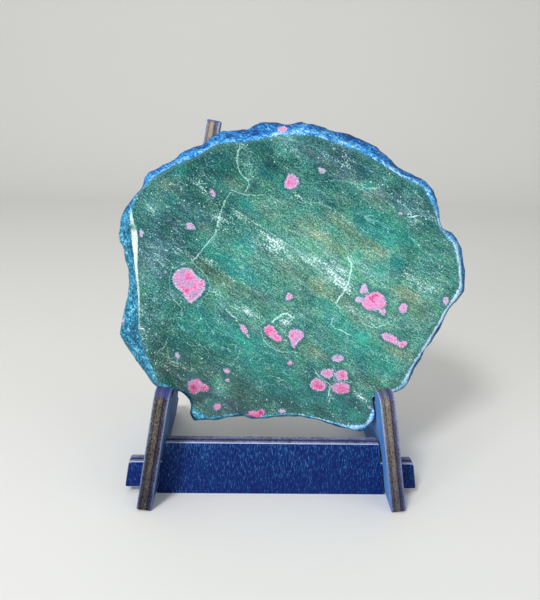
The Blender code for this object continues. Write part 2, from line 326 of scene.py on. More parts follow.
# Rubies on the face: name, how strong a pink (0 pale, 1 and more hot) and outline in mm
rubies = (
    ("top pea", 0.55, (
        (3.7, 76.9), (5.3, 76.7), (6.7, 75.5), (7.2, 73.8), (6.4, 72.5), (4.5, 71.8), (2.5, 72.1),
        (2.1, 73.4), (2.7, 75.4))),
    ("small left of vein", 0.6, (
        (-22, 71.6), (-21, 70.6), (-20.4, 69.7), (-20.9, 68.4), (-21.7, 69), (-22.5, 70.9))),
    ("pale left", 0.15, (
        (-29.9, 60), (-28.6, 60.5), (-27.6, 59), (-26.9, 58), (-28.6, 57.8), (-30.4, 58.3))),
    ("edge left", 0.1, ((-45.6, 57.7), (-44.6, 57.7), (-44.1, 56.4), (-44.6, 55.1), (-45.6, 55))),
    ("top rim", 0.65, (
        (-0.5, 91.9), (0.5, 92.9), (2.2, 93), (3.2, 92), (2.5, 90.7), (1.2, 89.9), (-0.1, 90.3))),
    ("pale upper right", 0.05, ((13.2, 79.2), (14.6, 78.9), (15.9, 78.3), (15.6, 76.9), (14, 77.2))),
    ("dot far right", 0.3, ((40.5, 64.9), (41.8, 65), (42.2, 64.1), (40.9, 64))),
    ("big", 0.2, (
        (-34.5, 42.6), (-33.2, 44.4), (-31.2, 45.3), (-29.2, 45), (-27.8, 44.2), (-26.2, 42),
        (-24.1, 41.2), (-23.6, 40), (-23.9, 37.7), (-25.4, 35.6), (-27.1, 34.2), (-28.5, 33),
        (-29.6, 33.9), (-30.8, 35.2), (-31.8, 37), (-33.2, 38), (-34.3, 39.5), (-34.9, 41.2))),
    ("big hot left", 0.8, (
        (-31.5, 37.9), (-30.8, 38.9), (-28.8, 39.5), (-27.5, 38.3), (-27.8, 36.3), (-28.8, 34.9),
        (-30.1, 35.4), (-31.2, 36.5))),
    ("big hot right", 0.7, (
        (-26.5, 40.7), (-24.5, 40.9), (-23.7, 39.7), (-24.5, 37.7), (-26.5, 37.8), (-27.1, 39.3))),
    ("small centre", 0.6, ((4.2, 37.3), (5.6, 36.8), (5.9, 35.4), (4.9, 34.7), (3.3, 34.7), (3.4, 35.7))),
    ("diagonal upper", 0.5, (
        (-12, 26.4), (-10.8, 26.3), (-9.5, 24.9), (-8.9, 23.6), (-10.1, 23), (-11.5, 24.2))),
    ("diagonal lower", 0.35, ((-9.8, 23.6), (-8.4, 22.5), (-8.6, 21.5), (-9.6, 22))),
    ("slug", 1, (
        (-3.4, 25.4), (-2, 26.4), (-0.6, 25.6), (0.4, 24.1), (1.5, 22.7), (2.8, 21.7), (2.2, 20.6),
        (0.5, 20.4), (-1.2, 21.6), (-3, 23), (-4, 24.3))),
    ("triangle", 0.55, (
        (5.2, 24.5), (6.9, 25), (8.6, 24.5), (10.3, 23.5), (9.7, 21.8), (8.3, 20.4), (7.3, 19.3),
        (6.7, 18.1), (5.6, 19.6), (5.2, 21), (4.5, 22.7))),
    ("small below triangle", 0.6, ((4.7, 13.5), (5.7, 14.1), (6.5, 13), (5.4, 12.2), (4.4, 12.7))),
    ("pale lower left", 0.1, ((-34.1, 16), (-32.8, 16.2), (-32.1, 15), (-32.1, 13.8), (-33.5, 14.3))),
    ("bean", 0.5, ((-17.4, 10.8), (-16.1, 11), (-14.7, 10), (-15.4, 8.9), (-16.8, 9.3))),
    ("pale bean", 0.1, ((-17.1, 7.2), (-15.4, 7.4), (-14.7, 6.5), (-16.4, 6.1))),
    ("lower left", 0.9, (
        (-29.7, 5.8), (-28, 7), (-25.9, 7.2), (-24.6, 5.9), (-22.9, 5), (-21.5, 3.6), (-23.2, 2.7),
        (-25.2, 2.9), (-26.6, 1.6), (-28.6, 2.1), (-29.3, 3.9))),
    ("pea low", 1.2, (
        (-20.4, -1.8), (-19.2, -1.1), (-18, -1.6), (-18.3, -3.2), (-19.5, -4.1), (-20.7, -3.1))),
    ("bottom edge", 1.25, (
        (-8, -4), (-6.6, -3.6), (-5.6, -4.1), (-4.2, -3.2), (-3, -3.6), (-3.2, -5.3), (-4.2, -6.2),
        (-5.9, -6.8), (-8.3, -7.2), (-10, -7.2), (-10, -6.1))),
    ("bottom pale", 0.3, ((1.5, -3.5), (3, -3), (4.4, -3.8), (3.7, -4.7), (2, -4.6))),
    ("spike", 0.15, ((29.6, 40.9), (30.6, 40.8), (31.3, 38.9), (31, 37.5), (29, 37.2), (28.6, 38.5))),
    ("pale beside main", 0.1, ((27.3, 36.1), (29, 36.5), (29.1, 35.1), (27.8, 33.7), (27, 34.7))),
    ("main right", 0.75, (
        (30.7, 36.8), (32.4, 37.7), (34.8, 38.3), (36.5, 37.1), (37.8, 34.9), (37.7, 33.4), (36, 32.3),
        (34.3, 31.4), (32.6, 31.6), (30.9, 31.9), (29.5, 33.4), (29.1, 34.9))),
    ("under main", 0.35, ((35.7, 32.1), (37.4, 32.3), (37.8, 31.1), (37.1, 29.7), (35.7, 30.9))),
    ("oval right", 0.55, (
        (42.8, 34), (44.1, 34.3), (45.2, 33.6), (44.9, 31.9), (43.6, 30.5), (42.2, 31.2),
        (41.8, 32.6))),
    ("edge right", 0.2, (
        (56.9, 36.4), (58.1, 36.9), (59.2, 35.9), (59.1, 34.2), (58.1, 33.3), (57.2, 34.7))),
    ("slanting", 0.6, (
        (36.2, 23.5), (37.7, 24.1), (39.8, 23.6), (41.9, 22.4), (42.3, 21), (41.7, 19.8), (39.2, 20.8),
        (37.1, 21.8))),
    ("slanting end", 0.5, (
        (42.7, 20.8), (44, 21.4), (45.7, 21.2), (45.4, 20), (44.1, 18.9), (42.4, 19.1), (42, 20.1))),
    ("above cluster", 0.35, (
        (19.8, 15.5), (21.1, 16.2), (23.2, 16.1), (23.8, 14.7), (22.6, 13.6), (20.5, 13.8),
        (19.5, 14.6))),
    ("cluster 1", 0.45, (
        (15.8, 10.2), (17.2, 11.1), (19.9, 11.3), (20.6, 10.4), (20.3, 8.7), (19, 7.4), (17.2, 8.3),
        (15.8, 9.3))),
    ("cluster 2", 0.55, (
        (21, 9.7), (21.6, 10.6), (23.4, 11), (24.7, 10.7), (25.3, 9.3), (25.5, 7.3), (23.8, 7.5),
        (21.7, 7.3), (20.9, 8.3))),
    ("cluster 3", 0.7, (
        (12.8, 6.8), (14.1, 8.1), (15.9, 7.7), (17.6, 6.5), (18.4, 5.1), (17.4, 3.7), (15.3, 3.2),
        (13.2, 4.2), (12.3, 5.4))),
    ("cluster 4", 0.85, (
        (19.9, 5.5), (21.4, 6.4), (23.5, 6.6), (25.6, 6.1), (26.3, 4.9), (26.2, 3.1), (24.7, 2.6),
        (22.2, 2.5), (20.5, 3.2), (19.8, 4.5))),
    ("red dot", 0.5, ((32.6, -1.6), (33.8, -1.8), (34, -2.8), (33, -2.8))),
    ("rim dot", 0.5, ((-52.8, 26.5), (-51.8, 26.3), (-52, 25.1), (-52.8, 25.3))),
    ("speck a", 0.1, ((-37.5, 44.2), (-36.5, 43.9), (-36.7, 43), (-37.5, 43.2))),
    ("speck b", 0.1, ((-39.2, 42), (-38.5, 42), (-38.5, 41.1), (-39.2, 41.1))),
)

# Pale veins: name, width in mm, how white, and line in mm
veins = (
    ("upper left", 0.5, 0.65, (
        (-12.6, 85.1), (-13.3, 83.2), (-13.7, 80.2), (-13.2, 78), (-11.5, 75.7), (-9.5, 74.1),
        (-9.8, 72.5), (-10.5, 70.9))),
    ("upper left twig", 0.3, 0.4, ((-8.6, 79.4), (-9.1, 77.1), (-8.5, 74.8))),
    ("branch to the right", 0.4, 0.5, ((-14.8, 70.9), (-12.4, 70.2), (-10.1, 69.6), (-5.1, 69.5))),
    ("under the top pea", 0.3, 0.4, ((2.8, 71.1), (5.5, 71.2), (7.8, 72.9))),
    ("long slanting", 0.4, 0.75, (
        (-15.7, 70.1), (-17.7, 67.1), (-19.3, 62.1), (-19.9, 58.5), (-21.2, 55.8), (-24.5, 51.6),
        (-27.9, 47))),
    ("long slanting, second strand", 0.3, 0.45, (
        (-17.1, 68.1), (-18.3, 63.8), (-19.1, 58.8), (-20.6, 55.8))),
    ("down the pale band", 0.4, 0.45, ((-8, 61), (-2.2, 57.2), (4.5, 53), (9.7, 49.7), (15.5, 45.8))),
    ("bow right of centre", 0.65, 1, (
        (24, 49.6), (25.3, 47.3), (25.2, 43.6), (24.5, 40.5), (22.2, 36.4), (20.9, 34.6))),
    ("short stroke", 0.6, 0.9, ((-16.6, 30.7), (-14.9, 29.3), (-13.2, 28.1))),
    ("stroke over the slug", 0.75, 1, ((-0.7, 27.3), (1, 28.9), (3.7, 30.3))),
    ("stroke over the triangle", 0.5, 0.8, ((5.1, 27.2), (6.4, 28.8))),
    ("arc under the slug", 0.45, 0.5, (
        (-4.9, 24.7), (-4.3, 21.9), (-2.6, 19.5), (-0.1, 17.8), (2.9, 16.8), (7.7, 16.7))),
    ("crooked one right of centre", 0.4, 0.6, (
        (19.6, 28.5), (19.3, 26.7), (20.5, 25.4), (22.6, 24.9), (24, 23.7), (26.1, 23))),
    ("arc under the main ruby", 0.4, 0.6, (
        (29, 28.3), (31.1, 26.4), (33.9, 25.7), (36.6, 26.3), (38.6, 27.5))),
    ("upper right arc", 0.35, 0.45, ((27.7, 73.8), (30.4, 72.7), (33.1, 72.6), (35.4, 73.8))),
    ("upper right run", 0.3, 0.3, ((12.1, 73.8), (18.3, 75), (23, 74.8), (27.7, 73.8))),
    ("left hair", 0.3, 0.35, ((-23.4, 27), (-22.3, 25.1), (-21, 23.4))),
    ("left curl", 0.3, 0.35, ((-28.1, 25.5), (-26.4, 26.6), (-25.1, 28.5))),
    ("ring round the big ruby, left", 0.3, 0.4, (
        (-35.2, 43.6), (-35.9, 39.8), (-35.3, 36.5), (-33.8, 33.8), (-31.5, 31.4), (-31.8, 28.7))),
    ("ring round the big ruby, right", 0.3, 0.45, (
        (-35.2, 43.6), (-33.2, 45.6), (-30.2, 46.8), (-27.9, 47), (-25.8, 45.1), (-23.1, 42.1),
        (-21.8, 39.1), (-23.1, 36.3), (-24.8, 34.8))),
    ("split in the big ruby", 0.4, 0.8, (
        (-31.8, 37.4), (-30.8, 39.1), (-28.8, 39.8), (-26.8, 40.5), (-25.8, 41.9))),
    ("split in the cluster", 0.55, 0.9, ((14.1, 10.4), (15.5, 8.4), (17.6, 7.1), (19.7, 5.2), (19, 2))),
    ("split in the cluster, upper", 0.45, 0.6, ((20.6, 12.2), (21, 10.4), (20.8, 8.7), (20.4, 6.9))),
    ("split in the cluster, lower", 0.5, 0.95, ((20.6, 6.8), (23.1, 7), (26.3, 6.6))),
    ("dash far right", 0.45, 0.9, ((44.6, 63.5), (47.3, 63.9))),
    ("upper left scratch", 0.3, 0.5, ((-23.7, 72.9), (-26.3, 72.8))),
    ("low left", 0.3, 0.35, ((-39.9, 15.9), (-36.8, 18.7), (-36.5, 20.4))),
    ("low middle", 0.3, 0.4, ((-14.4, 12.1), (-12.4, 15.2), (-11.4, 17.7))),
)

# Soft zones of colour, each a list of ovals laid along the rock's grain:
# across, up, half length, half width in mm, and strength
zones = {
    # tone of the rock and painted shade: darker over the left and the top of the face and on the ruby at
    # the bottom edge, with a painted glow on the ruby in the top rim
    "lightness": (
        (-10.5, 66.5, 2.5, 2, -0.5), (40.5, 48, 2.5, 2, -0.5), (-3.5, 78, 4, 2.5, -0.4),
        (2, 92, 4, 4, 1.2), (-19, 4, 5, 3.5, 0.85), (19.5, 6, 8.5, 5, -0.55), (-9, -5.5, 5, 2.5, -1),
        (22, 81.5, 8.5, 4, -0.25), (48.5, 52.5, 7, 5.5, -0.25), (-29.5, 84, 7, 4, -0.4),
        (-9.5, 79.5, 7.5, 5.5, -0.25), (22, 84, 8.5, 4, -0.45), (-19, 64, 5.5, 4.5, -0.3),
        (18, 60, 6, 4.5, -0.25), (52, 65, 5.5, 5.5, -0.35), (-32, 54.5, 6.5, 4.5, -0.25),
        (-18, 44, 6.5, 4, -0.35), (-20, 0, 13.5, 4, -0.25), (39.5, 38, 11.5, 10, 0.3),
        (-27.5, 82, 7, 4, -0.4), (-23.5, 2.5, 8, 4, -0.3), (44.5, 0.5, 7.5, 5.5, 0.45),
        (-17, 51, 6.5, 4.5, 0.3), (-39, 12, 7, 5.5, -0.2), (-35, 57, 14, 19, -0.6),
        (4, 82, 36.5, 6.5, -0.35), (-30.5, 19, 13.5, 11.5, -0.35), (-8, 8.5, 24, 7.5, -0.3),
        (-10.5, 63, 20, 8.5, -0.2), (-19, 80, 8, 4, -0.75), (-32.5, 76.5, 7, 4, -0.4),
        (-9.5, 85, 19.5, 3.5, -0.3), (42.5, 72.5, 10, 4.5, -0.4), (17, 85, 20, 3, -0.25),
        (-39.5, 20.5, 6, 12, -0.3), (-37, 9.5, 8, 5.5, -0.55), (-23.5, -1.5, 9, 4, -0.75),
        (-11.5, 1.5, 20.5, 7.5, -0.5), (1.5, 5.5, 9, 6, -0.45), (26.5, -4, 12, 5, -0.6),
        (12, -3.5, 10.5, 3.5, -0.4), (-27.5, 74, 10, 5.5, -0.2), (13, 45.5, 34, 16, 0.3),
        (24.5, 52.5, 17, 10, 0.25), (16, 55, 8.5, 2.5, 0.5), (55.5, 47.5, 7.5, 8, 0.15),
        (29.5, 29, 8, 2.5, 0.35), (-12, 32, 15.5, 2.5, 0.4), (0, 53, 8, 2.5, 0.5),
        (18.5, 44, 10, 2.5, 0.4), (-42, 46, 2.5, 11.5, 0.25),
    ),
    "teal": (
        (40.5, 48, 2.5, 2, 1), (27, 50, 2.5, 2, 0.9), (30.5, 74, 2.5, 2, 0.8), (-19, 79.5, 6, 3, 0.9),
        (-32.5, 78, 5, 2.5, 0.7), (-19.5, 49, 16, 4.5, 0.6), (-10.5, 53, 3.5, 3, 1),
        (-20.5, 24, 11.5, 6, 0.9), (-28, 26.5, 4.5, 3.5, 0.8), (34, 59.5, 10, 6, 0.6),
        (34.5, 45.5, 3.5, 2.5, 1), (24, 24, 17, 6, 0.55), (2, 5, 14, 6, 0.7),
        (35.5, 13.5, 11.5, 4, 0.7), (-4, 13.5, 11.5, 5.5, 0.4), (-10.5, 66.5, 3.5, 2.5, 1),
        (-3.5, 77, 4, 2.5, 0.8), (26.5, -4, 9, 3, 0.8), (-35, 67.5, 3, 2.5, 0.7),
        (2.5, 71.5, 3.5, 2.5, 0.7), (29.5, 62, 7.5, 4, 0.5), (45, 55, 9, 4, 0.5),
        (-12, 44, 8.5, 2.5, 0.6), (-4.5, 19, 7.5, 3, 0.5), (18.5, 31.5, 9, 3, 0.4),
        (11, 61, 10, 2.5, 0.25), (16, 2, 10.5, 3.5, 0.3), (41, 25, 7, 3.5, 0.4),
    ),
    "warm": (
        (-24, 45, 8, 2.5, 0.3), (18, 58, 20, 8.5, 0.3), (-37, 73, 4, 2.5, 0.7),
        (-21, 83, 5.5, 2.5, 0.5), (-14, 74, 7.5, 2.5, 0.6), (-24.5, 58, 3.5, 2.5, 0.7),
        (-13.5, 39.5, 15.5, 3.5, 0.6), (8, 45, 19, 4, 0.4), (18.5, 36, 17, 4, 0.45),
        (34, 70, 6.5, 3, 0.9), (26.5, 58, 9.5, 1.5, 0.9), (16, 55, 8, 2, 0.6), (32, 53, 9, 2.5, 0.4),
        (45, 36.5, 5.5, 2.5, 1), (49, 31.5, 4, 3.5, 0.7), (11.5, 18.5, 7.5, 2.5, 0.9),
        (43, 17, 8.5, 2.5, 0.6), (-37, 10, 8, 6, 0.6), (-23.5, -1.5, 8, 4, 0.7),
        (-13, 2, 20.5, 7, 0.5), (-1.5, 19, 5.5, 2.5, 0.5), (-39.5, 23, 4, 6, 0.35),
        (21, 70, 10, 2.5, 0.3), (-2.5, 63.5, 10, 2.5, 0.3), (33, 5.5, 7.5, 3, 0.5),
        (17, 81.5, 10, 3, 0.5), (24, 76, 10, 2.5, 0.4),
    ),
    "grey": (
        (-20, 0.5, 15, 4, 0.7), (22, 85, 8, 2.5, 0.3), (-39, 59, 10.5, 12, 0.5),
        (-41, 47, 5.5, 9.5, 0.5), (-42, 26.5, 6.5, 13, 0.45), (22, 80.5, 15.5, 4, 0.7),
        (44.5, 67, 7.5, 3.5, 0.7), (7, 85, 22, 3, 0.5), (-11.5, 84, 10, 2.5, 0.4), (52, 54, 4, 6, 0.3),
        (-29, 66, 10, 4, 0.35), (-22.5, -1.5, 9.5, 3.5, 0.4), (19.5, 5.5, 3, 5, 0.7),
        (-29.5, 13.5, 9, 3.5, 0.25),
    ),
    "pale": (
        (-13.5, 63.5, 3.5, 1.5, 0.3), (-5, 58, 3.5, 1.5, 0.34), (0.5, 52.5, 5, 3.5, 0.72),
        (7, 50.5, 3.5, 0.5, 0.36), (11.5, 48, 2.5, 1, 0.42), (16.5, 46.5, 4, 2.5, 0.66),
        (20.5, 43, 4.5, 3, 0.74), (24, 39, 2.5, 1.5, 0.66), (-24.5, 72, 4.5, 1.5, 0.36),
        (-22.5, 67.5, 1.5, 2, 0.36), (-39, 48, 6.5, 1.5, 0.42), (22, 80.5, 9.5, 3, 0.18),
        (44.5, 66.5, 6.5, 3, 0.3), (3, 27, 2.5, 1.5, 0.5), (4, 27, 1.5, 1.5, 0.5),
        (5.5, 29.5, 1.5, 1.5, 0.5), (-12, 32, 15.5, 2, 0.34), (30.5, 29, 8, 1.5, 0.36),
        (49, 41, 7.5, 2, 0.52), (30.5, 1.5, 3, 1.5, 0.7), (35, 47.5, 3.5, 1.5, 0.45),
        (-13.5, 80, 1, 3.5, 0.36), (-45.5, 23, 2, 11.5, 0.36), (7.5, 68.5, 8, 1.5, 0.33),
        (28, 49.5, 3.5, 1.5, 0.36), (41, 27.5, 5, 1.5, 0.36), (19.5, 1, 1, 2, 0.5),
        (-18, 45, 10, 1.5, 0.3), (-42.5, 9.5, 3.5, 4.5, 0.36), (-16.5, 60, 10, 1.5, 0.3),
        (26, 60.5, 8, 1, 0.3),
    ),
    "specks": (
        (22, 80, 20, 7.5, 0.8), (44.5, 67, 10, 6, 0.9), (-35, 59, 13, 15, 0.7),
        (-42, 24, 6.5, 15.5, 0.5), (-11.5, 1.5, 24, 7.5, 0.5), (52, 48.5, 7.5, 9.5, 0.5),
        (-24, 79, 13, 6.5, 0.3), (16, 3.5, 14, 7, 0.3), (-25.5, 17, 17, 9, 0.3),
    ),
}


def reachInto(place, outline):
    # signed distance to a closed outline in mm, positive inside
    start = np.array(outline)
    end = np.roll(start, -1, 0)
    run = end - start
    away = place[:, None] - start
    t = np.clip((away * run).sum(-1) / (run ** 2).sum(-1), 0, 1)
    distance = np.linalg.norm(away - t[..., None] * run, axis=-1).min(1)
    y = place[:, 1:2]
    crosses = (start[:, 1] > y) != (end[:, 1] > y)
    slope = run[:, 0] * (y - start[:, 1]) / np.where(run[:, 1] == 0, 1, run[:, 1]) + start[:, 0]
    inside = (crosses & (place[:, :1] < slope)).sum(1) % 2 == 1
    return np.where(inside, distance, -distance)


def besideLine(place, line):
    # distance to an open line in mm, positive on its left, and how far past its ends
    start, end = np.array(line[:-1]), np.array(line[1:])
    run = end - start
    length = np.linalg.norm(run, axis=1)
    away = place[:, None] - start
    along = (away * run).sum(-1) / length ** 2
    t = np.clip(along, 0, 1)
    distance = np.linalg.norm(away - t[..., None] * run, axis=-1)
    nearest = distance.argmin(1)
    row = np.arange(len(place))
    side = np.sign(run[nearest, 0] * away[row, nearest, 1] - run[nearest, 1] * away[row, nearest, 0])
    past = np.maximum(-along[:, 0] * length[0], (along[:, -1] - 1) * length[-1])
    return side * distance[row, nearest], np.maximum(past, 0)


def rubyMap(place):
    # for each point the reach into the nearest ruby and that ruby's strength of pink; an outline
    # inside another is a hotter part of it
    reach, heat = np.full(len(place), -9.0), np.zeros(len(place))
    for _, strength, outline in rubies:
        found = reachInto(place, outline)
        nearer = (found > reach) | (found > 0)
        reach = np.where(nearer, found, reach)
        heat = np.where(nearer, strength, heat)
    return {"reach": np.maximum(reach, -5), "heat": heat}


def veinMap(place):
    # for each point the distance to the nearest vein, its width and its whiteness
    offset, width, white = (np.full(len(place), value) for value in (9.0, 0.3, 0.0))
    for _, wide, strength, line in veins:
        side, past = besideLine(place, line)
        nearer = np.abs(side) < np.abs(offset)
        offset = np.where(nearer, side, offset)
        width = np.where(nearer, wide, width)
        white = np.where(nearer, strength * between(1.4, 0.1, past), white)
    return {"offset": np.clip(offset, -4, 4), "width": width, "white": white}


def zoneShare(place, patches):
    # sum of soft ovals, each a bell curve turned to the rock's grain
    fall = math.radians(slab["foliation"])
    across, up, halfLength, halfWidth, strength = np.array(patches).T
    x, y = place[:, :1] - across, place[:, 1:] - up
    along = (x * math.cos(fall) - y * math.sin(fall)) / halfLength
    beside = (x * math.sin(fall) + y * math.cos(fall)) / halfWidth
    return (strength * np.exp(-0.8 * (along ** 2 + beside ** 2))).sum(1)


# which value each attribute of the slab carries along x, y and z
slabMapLayout = {
    "rubyMap": ("reach", "heat", "frosted"), "veinMap": ("offset", "width", "white"),
    "tintMap": ("teal", "warm", "grey"), "grainMap": ("pale", "specks", "lightness"),
    "placeMap": ("fromEdge", "blue", "behind"),
}


def slabMaps(place, reach, faceEdge, thick):
    # the vector attributes that the rock's material reads: the markings, which drift towards the
    # back, the distance from the polish, and where the rim's skin gets a painted glow along its
    # right and bottom edges and where it is painted bluer, as bluish light falls on its top and right
    fall = math.radians(slab["foliation"])
    across, up, depth = place.T
    foliated = np.column_stack([across * math.cos(fall) - up * math.sin(fall),
                                across * math.sin(fall) + up * math.cos(fall), depth])
    behind = between(0.45 * thick, 0.9 * thick, depth)
    drift = np.column_stack([shift + wander * softNoise(place, size, seed)
                             for shift, wander, size, seed in slab["backDrift"]])
    flat = place[:, :2] + drift * behind[:, None]
    values = {name: zoneShare(flat, patches) for name, patches in zones.items()}
    values |= rubyMap(flat) | veinMap(flat) | {"behind": behind, "fromEdge": reach.copy()}
    onFace = reach < 0
    values["fromEdge"][onFace] = -reachInto(place[onFace, :2], faceEdge[::4])
    rightward, upward = outward(place, 0.01).T
    # painted glow: a bright line along the rim's right and bottom edges, little at the top
    frosted = between(-0.75, 0.1, rightward) * (1 - 0.9 * between(0.0, 0.6, upward))
    values["frosted"] = frosted * (1 - 0.4 * between(0.3, 0.8, -upward))
    # painted light: the rim's top and right bluer, standing in for bluish light falling there
    values["blue"] = np.maximum(between(0.2, 0.65, upward), 0.8 * between(0.0, 0.5, rightward))
    maps = {title: np.column_stack([values[name] for name in names])
            for title, names in slabMapLayout.items()}
    return {"foliated": foliated, **maps}


rock = {
    # mm: the size of each noise and of the crystals; the finest are as coarse as they need to be
    # to show
    "streak": 1.6, "needle": 0.55, "mottle": 8.0, "grain": 0.5, "patch": 4.0, "hue": 3.2,
    "wobble": 1.7, "crystal": 4.6, "fleck": 0.95, "hair": 3.2, "sugar": 0.6, "blotch": 0.6,
    "lobe": 2.4, "frost": 0.9, "drift": 3.6,
    # zone plus patchy noise at which a tint starts and at which it is full, and its most
    "tints": (("warm", 0.64, 1.2, 0.55), ("grey", 0.65, 1.25, 0.8), ("teal", 0.82, 1.14, 0.85)),
    # how much each layer covers at its most
    "crystalShare": 0.5, "hairShare": 0.4, "bandShare": 0.92, "seamShare": 0.6,
    "sugarShare": 0.7, "edgeShare": 0.45, "bloomShare": 0.5,
    "bend": 3.4, "bumpHeight": 0.3,       # mm that the green crystals' edges wander, and of relief
    "polishRoughness": 0.1,
    # colours by shade, from dark to light, and from pale to hot in the rubies
    "plainRamp": ((0.05, "#123c40"), (0.32, "#326b67"), (0.5, "#508d81"), (0.68, "#78ae9b"),
                  (0.95, "#c6e3cf")),
    "tealRamp": ((0.05, "#0f4c52"), (0.4, "#31827c"), (0.6, "#4da595"), (0.95, "#a2dccd")),
    "warmRamp": ((0.05, "#2b3733"), (0.4, "#5a7562"), (0.6, "#83977a"), (0.95, "#cdd0a8")),
    "greyRamp": ((0.05, "#253e48"), (0.4, "#507c88"), (0.6, "#789fab"), (0.95, "#d0e4ea")),
    "chromeRamp": ((0.0, "#0a4c58"), (0.45, "#157065"), (0.7, "#2f9b7c"), (1.0, "#46b3a8")),
    "bandRamp": ((0.15, "#4a7a79"), (0.42, "#76a8a4"), (0.58, "#a8d5d0"), (0.78, "#e2f8f6")),
    "rubyRamp": ((0.0, "#9c8fb4"), (0.22, "#bd98c6"), (0.45, "#d99bc9"), (0.65, "#e580b6"),
                 (0.88, "#df5d99"), (1.0, "#c04080")),
    # the rim's skin: bluer where painted bluish light falls on its top and right, teal elsewhere; the hue
    # of both is partly that light painted in
    "blueLitSkin": ((0.0, "#022f70"), (0.3, "#0367b8"), (0.52, "#1b9ae6"), (0.72, "#5ec3ff"),
                 (1.0, "#ccecff")),
    "tealSkin": ((0.0, "#04394c"), (0.3, "#04688e"), (0.52, "#1d93b9"), (0.72, "#58c0e0"),
                 (1.0, "#d4f5fa")),
    # the flecks' colour is partly a painted glint; the seams' dark green round the rubies serves also as
    # the painted shade just inside the face's edge
    "vein": "#b8eee4", "speck": "#cdf0ea", "rubyMargin": "#d0cfe8", "seamAndShade": "#1f5a60",
    "sawn": "#9db8ae",
}

# Mix takes its share at 0 and its colours at 6 and 7; MapRange its value at 0, the range that it
# is in at 1 and 2 and the one that it goes to at 3 and 4, from 0 to 1 where they are left out
colourMix = {"out": 2, "data_type": "RGBA"}


def sumOf(tree, start, *terms):
    # start + each socket times its weight
    total = start
    for weight, socket in terms:
        total = addNode(tree, "Math", {0: socket, 1: weight, 2: total}, operation="MULTIPLY_ADD")
    return total


def productOf(tree, *factors):
    total = factors[0]
    for factor in factors[1:]:
        total = addNode(tree, "Math", {0: total, 1: factor}, operation="MULTIPLY")
    return total


def cloudiness(tree, place, size, stretch=(1.0, 1.0, 1.0), shift=(0.0, 0.0, 0.0), out=0, **inputs):
    # fractal noise whose lumps are one size in mm, longer along the grain where stretch is low
    moved = addNode(tree, "Mapping", {"Vector": place, "Location": shift, "Scale": stretch})
    return addNode(tree, "TexNoise", {"Vector": moved, "Scale": 1 / size, **inputs}, out=out)


def layered(tree, at, colour, layers):
    # each layer over the ones before it; a layer says how much it covers and its own colour
    for layer, blend in layers:
        cover, paint = layer(tree, at)
        colour = addNode(tree, "Mix", {0: cover, 6: colour, 7: paint}, blend_type=blend, **colourMix)
    return colour


def rockReadings(tree):
    # what the layers read at a point: the slab's maps, and noises laid along the foliation
    place = addNode(tree, "Attribute", attribute_name="foliated", out=1)
    at = SimpleNamespace(place=place)
    for title, names in slabMapLayout.items():
        vector = addNode(tree, "Attribute", attribute_name=title, out=1)
        vars(at).update(zip(names, addNode(tree, "SeparateXYZ", {0: vector}).node.outputs))
    at.streak = cloudiness(tree, place, rock["streak"], (0.24, 1.0, 0.5), Detail=5.0, Roughness=0.6)
    at.needle = cloudiness(tree, place, rock["needle"], (0.3, 1.0, 1.0), Detail=2.0, Roughness=0.7)
    at.mottle = cloudiness(tree, place, rock["mottle"], Detail=3.0, Distortion=0.5)
    at.grain = cloudiness(tree, place, rock["grain"], Detail=2.0, Roughness=0.8)
    at.patch = cloudiness(tree, place, rock["patch"], (0.5, 1.0, 1.0), (40.0, 17.0, 9.0), Detail=4.0)
    at.wobble = addNode(tree, "TexNoise", {"Vector": place, "Scale": 1 / rock["wobble"], "Detail": 3.0},
                        out=1)
    return at


def tintedGround(tree, at):
    # shade: the noises round one half, lifted or sunk by the zones of tone and painted shade; each
    # tint takes over where its zone and the patchy noise add up
    shade = sumOf(tree, -1.3, (0.52, at.streak), (0.66, at.needle), (1.72, at.grain),
                  (0.46, at.mottle), (0.26, at.lightness))
    colour = addNode(tree, "ValToRGB", {0: shade}, stops=rock["plainRamp"])
    for name, start, full, most in rock["tints"]:
        total = sumOf(tree, vars(at)[name], (0.9, at.patch))
        cover = addNode(tree, "MapRange", {0: total, 1: start, 2: full, 4: most})
        tint = addNode(tree, "ValToRGB", {0: shade}, stops=rock[name + "Ramp"])
        colour = addNode(tree, "Mix", {0: cover, 6: colour, 7: tint}, **colourMix)
    return colour


def chromeCrystals(tree, at):
    # scattered crystals richer in chromium, green to teal, with soft broken edges: the cells of a
    # Voronoi pattern that win a draw, faded from the middle outwards
    bent = addNode(tree, "VectorMath", {0: at.wobble, 1: (rock["bend"],) * 3, 2: at.place},
                   operation="MULTIPLY_ADD")
    bent = addNode(tree, "Mapping", {"Vector": bent, "Scale": (0.6, 1.0, 1.0)})
    cells = addNode(tree, "TexVoronoi", {"Vector": bent, "Scale": 1 / rock["crystal"]}).node.outputs
    chance = addNode(tree, "SeparateXYZ", {0: cells[1]}).node.outputs
    wanted = sumOf(tree, chance[0], (0.3, at.teal))
    chosen = addNode(tree, "MapRange", {0: wanted, 1: 0.9, 2: 1.05})
    soft = addNode(tree, "MapRange", {0: cells[0], 1: 0.66, 2: 0.25, 4: rock["crystalShare"]})
    shade = sumOf(tree, -0.5, (1.0, chance[1]), (1.0, at.grain))
    chrome = addNode(tree, "ValToRGB", {0: shade}, stops=rock["chromeRamp"])
    return productOf(tree, chosen, soft), chrome


def hueDrift(tree, at):
    # small drifts of hue: each primary multiplied by its own noise, stretched and lifted to near 1
    hue = cloudiness(tree, at.place, rock["hue"], (0.55, 1.0, 1.0), (7.0, 3.0, 1.0), out=1,
                     Detail=2.0, Roughness=0.5)
    return 1.0, addNode(tree, "VectorMath", {0: hue, 1: (1.05, 0.42, 0.5), 2: (0.45, 0.8, 0.75)},
                        operation="MULTIPLY_ADD")


